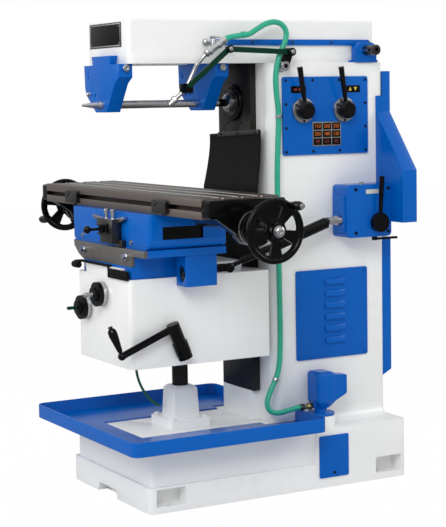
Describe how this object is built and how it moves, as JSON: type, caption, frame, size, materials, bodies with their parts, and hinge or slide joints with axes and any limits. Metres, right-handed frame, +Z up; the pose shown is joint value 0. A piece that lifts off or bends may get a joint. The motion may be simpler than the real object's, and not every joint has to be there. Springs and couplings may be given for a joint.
{
  "type": "horizontal milling machine",
  "caption": "Knee-type horizontal milling machine: column with a sliding overarm and arbor yokes, tee-slotted table on a lifting knee, telescopic feed shaft and drip tray.",
  "frame": {"origin": "on the floor under the spindle line, a little in front of the column's ways", "axes": "+X to the right along the table's travel as the operator sees it, +Y away from the operator into the column, +Z up"},
  "size_m": [1.754, 1.159, 1.6263],
  "materials": {
    "white_enamel": "smooth gloss enamel on a filled casting",
    "blue_enamel": "gloss enamel",
    "black_enamel": "satin enamel",
    "bare_steel": "turned or ground",
    "table_iron": "ground working face, oiled",
    "way_iron": "scraped ways, oiled",
    "bronze": "turned",
    "green_hose": "glossy soft hose",
    "black_mat": "matt sheet",
    "green_paint": "dark satin enamel",
    "black_knob": "moulded"
  },
  "bodies": {
    "frame": {"base": "white_enamel", "drip_tray": "blue_enamel", "base_door": "blue_enamel", "column": "white_enamel", "column_ways": "way_iron", "control_panel": "blue_enamel", "louvre_cover": "blue_enamel", "frame_screws": "bare_steel", "belt_guard": "blue_enamel", "rear_cover": "blue_enamel", "feed_gearbox": "blue_enamel", "feed_output": "bare_steel", "pump": "blue_enamel", "coolant_hose": "green_hose", "screw_pedestal": "white_enamel", "lift_nut": "bronze", "way_mat": "black_mat", "pinion_bracket": "blue_enamel", "coolant_post": "bare_steel"},
    "overarm_body": {"overarm": "white_enamel", "overarm_rail": "blue_enamel"},
    "overarm_pinion": {"pinion_shaft": "bare_steel"},
    "front_yoke_body": {"front_yoke": "blue_enamel"},
    "rear_yoke_body": {"rear_yoke": "blue_enamel"},
    "spindle_body": {"spindle": "bare_steel", "arbor": "bare_steel"},
    "speed_lever_front_body": {"speed_lever_front": "black_enamel"},
    "speed_lever_rear_body": {"speed_lever_rear": "black_enamel"},
    "feed_lever_body": {"feed_lever": "black_enamel"},
    "feed_clutch_body": {"feed_clutch": "black_enamel"},
    "knee_body": {"knee": "white_enamel", "knee_wiper": "black_mat", "crank_peg": "black_enamel", "drain_hose": "green_hose"},
    "lift_screw_body": {"lift_screw": "way_iron"},
    "cross_dial_body": {"cross_dial": "bare_steel"},
    "lift_dial_body": {"lift_dial": "bare_steel"},
    "crank_body": {"crank": "black_enamel"},
    "crank_grip_body": {"crank_grip": "black_knob"},
    "saddle_body": {"saddle": "blue_enamel", "swivel_plate": "table_iron", "saddle_bolts": "bare_steel", "feed_block": "blue_enamel", "feed_fork": "bare_steel", "trip_block": "black_enamel"},
    "trip_lever_body": {"trip_lever": "black_knob"},
    "table_body": {"table": "table_iron", "end_brackets": "black_enamel"},
    "trip_dog_left_body": {"trip_dog_left": "bare_steel"},
    "trip_dog_right_body": {"trip_dog_right": "bare_steel"},
    "table_screw_body": {"table_screw": "bare_steel", "handwheel_right": "black_enamel", "handwheel_left": "black_enamel"},
    "wheel_grip_right_body": {"wheel_grip_right": "black_knob"},
    "wheel_grip_left_body": {"wheel_grip_left": "black_knob"},
    "feed_tube_body": {"feed_tube": "black_enamel"},
    "feed_rod_body": {"feed_rod": "black_enamel"},
    "arm_lower_body": {"arm_lower": "green_paint"},
    "arm_upper_body": {"arm_upper": "green_paint", "coolant_pipe": "bare_steel"}
  },
  "joints": [
    {"name": "knee_lift", "type": "slide", "parent": "frame", "child": "knee_body", "axis": [0, 0, 1], "range_m": [-0.06, 0.19], "deforming": ["drain_hose", "way_mat"]},
    {"name": "saddle_cross", "type": "slide", "parent": "knee_body", "child": "saddle_body", "axis": [0, 1, 0], "range_m": [0, 0.165]},
    {"name": "table_feed", "type": "slide", "parent": "saddle_body", "child": "table_body", "axis": [1, 0, 0], "range_m": [-0.28, 0.28]},
    {"name": "table_screw_turn", "type": "hinge", "parent": "table_body", "child": "table_screw_body", "pos_m": [0, -0.257, 0.96], "axis": [1, 0, 0], "range_deg": [-16795, 16795]},
    {"name": "wheel_grip_right_turn", "type": "hinge", "parent": "table_screw_body", "child": "wheel_grip_right_body", "pos_m": [0.833, -0.20878, 1.03717], "axis": [1, 0, 0], "continuous": true},
    {"name": "wheel_grip_left_turn", "type": "hinge", "parent": "table_screw_body", "child": "wheel_grip_left_body", "pos_m": [-0.833, -0.32772, 0.90273], "axis": [1, 0, 0], "continuous": true},
    {"name": "trip_dog_left_slide", "type": "slide", "parent": "table_body", "child": "trip_dog_left_body", "axis": [1, 0, 0], "range_m": [-0.19, 0.25]},
    {"name": "trip_dog_right_slide", "type": "slide", "parent": "table_body", "child": "trip_dog_right_body", "axis": [1, 0, 0], "range_m": [-0.25, 0.19]},
    {"name": "trip_lever_swing", "type": "hinge", "parent": "saddle_body", "child": "trip_lever_body", "pos_m": [0.048, -0.489, 0.932], "axis": [0, 0, 1], "range_deg": [-25, 25]},
    {"name": "lift_screw_turn", "type": "hinge", "parent": "knee_body", "child": "lift_screw_body", "pos_m": [0, -0.18, 0.48], "axis": [0, 0, 1], "range_deg": [-4330, 13690]},
    {"name": "lift_dial_turn", "type": "hinge", "parent": "knee_body", "child": "lift_dial_body", "pos_m": [-0.135, -0.48, 0.647], "axis": [0, 1, 0], "range_deg": [-8650, 27370]},
    {"name": "cross_dial_turn", "type": "hinge", "parent": "knee_body", "child": "cross_dial_body", "pos_m": [0, -0.48, 0.706], "axis": [0, 1, 0], "range_deg": [-10, 11890]},
    {"name": "crank_swing", "type": "hinge", "parent": "knee_body", "child": "crank_body", "pos_m": [0.236, -0.325, 0.613], "axis": [0, -0.3746, 0.9272], "range_deg": [0, 150]},
    {"name": "crank_grip_turn", "type": "hinge", "parent": "crank_body", "child": "crank_grip_body", "pos_m": [0.236, -0.53284, 0.57217], "axis": [0, -0.3746, 0.9272], "continuous": true},
    {"name": "spindle_turn", "type": "hinge", "parent": "frame", "child": "spindle_body", "pos_m": [0, 0.06, 1.346], "axis": [0, 1, 0], "continuous": true},
    {"name": "overarm_slide", "type": "slide", "parent": "frame", "child": "overarm_body", "axis": [0, 1, 0], "range_m": [-0.12, 0.03]},
    {"name": "overarm_pinion_turn", "type": "hinge", "parent": "frame", "child": "overarm_pinion", "pos_m": [0.22, 0.482, 1.521], "axis": [1, 0, 0], "range_deg": [-470, 130]},
    {"name": "front_yoke_slide", "type": "slide", "parent": "overarm_body", "child": "front_yoke_body", "axis": [0, 1, 0], "range_m": [-0.02, 0.15]},
    {"name": "rear_yoke_slide", "type": "slide", "parent": "overarm_body", "child": "rear_yoke_body", "axis": [0, 1, 0], "range_m": [-0.12, 0.03]},
    {"name": "speed_lever_front_swing", "type": "hinge", "parent": "frame", "child": "speed_lever_front_body", "pos_m": [0.219, 0.212, 1.315], "axis": [-1, 0, 0], "range_deg": [0, 45]},
    {"name": "speed_lever_rear_swing", "type": "hinge", "parent": "frame", "child": "speed_lever_rear_body", "pos_m": [0.219, 0.381, 1.315], "axis": [-1, 0, 0], "range_deg": [0, 45]},
    {"name": "feed_lever_swing", "type": "hinge", "parent": "frame", "child": "feed_lever_body", "pos_m": [0.3, 0.462, 0.919], "axis": [-1, 0, 0], "range_deg": [-45, 10]},
    {"name": "feed_clutch_swing", "type": "hinge", "parent": "frame", "child": "feed_clutch_body", "pos_m": [0.276, 0.462, 0.868], "axis": [0, 0, 1], "range_deg": [-20, 20]},
    {"name": "feed_tube_swing", "type": "hinge", "parent": "frame", "child": "feed_tube_body", "pos_m": [0.255, 0.29, 0.93], "axis": [-1, 0, 0], "range_deg": [-9, 26]},
    {"name": "feed_rod_slide", "type": "slide", "parent": "feed_tube_body", "child": "feed_rod_body", "axis": [0, -0.9503, -0.3114], "range_m": [-0.158, 0]},
    {"name": "arm_lower_swing", "type": "hinge", "parent": "frame", "child": "arm_lower_body", "pos_m": [0.232, 0.152, 1.515], "axis": [-1, 0, 0], "range_deg": [-5, 12], "deforming": ["coolant_hose"]},
    {"name": "arm_upper_swing", "type": "hinge", "parent": "arm_lower_body", "child": "arm_upper_body", "pos_m": [0.241, -0.095, 1.525], "axis": [-1, 0, 0], "range_deg": [-10, 15], "deforming": ["coolant_hose"]}
  ],
  "couplings": [
    {"joint": "table_feed", "follows": "table_screw_turn", "m_per_rad": 0.00095493},
    {"joint": "lift_screw_turn", "follows": "knee_lift", "rad_per_m": 1256.6},
    {"joint": "lift_dial_turn", "follows": "knee_lift", "rad_per_m": 2513.3},
    {"joint": "cross_dial_turn", "follows": "saddle_cross", "rad_per_m": 1256.6},
    {"joint": "overarm_pinion_turn", "follows": "overarm_slide", "rad_per_m": 66.667},
    {"joint": "feed_tube_swing", "follows": "knee_lift", "rad_per_m": 2.36},
    {"joint": "feed_rod_slide", "follows": "saddle_cross", "ratio": -0.95}
  ]
}
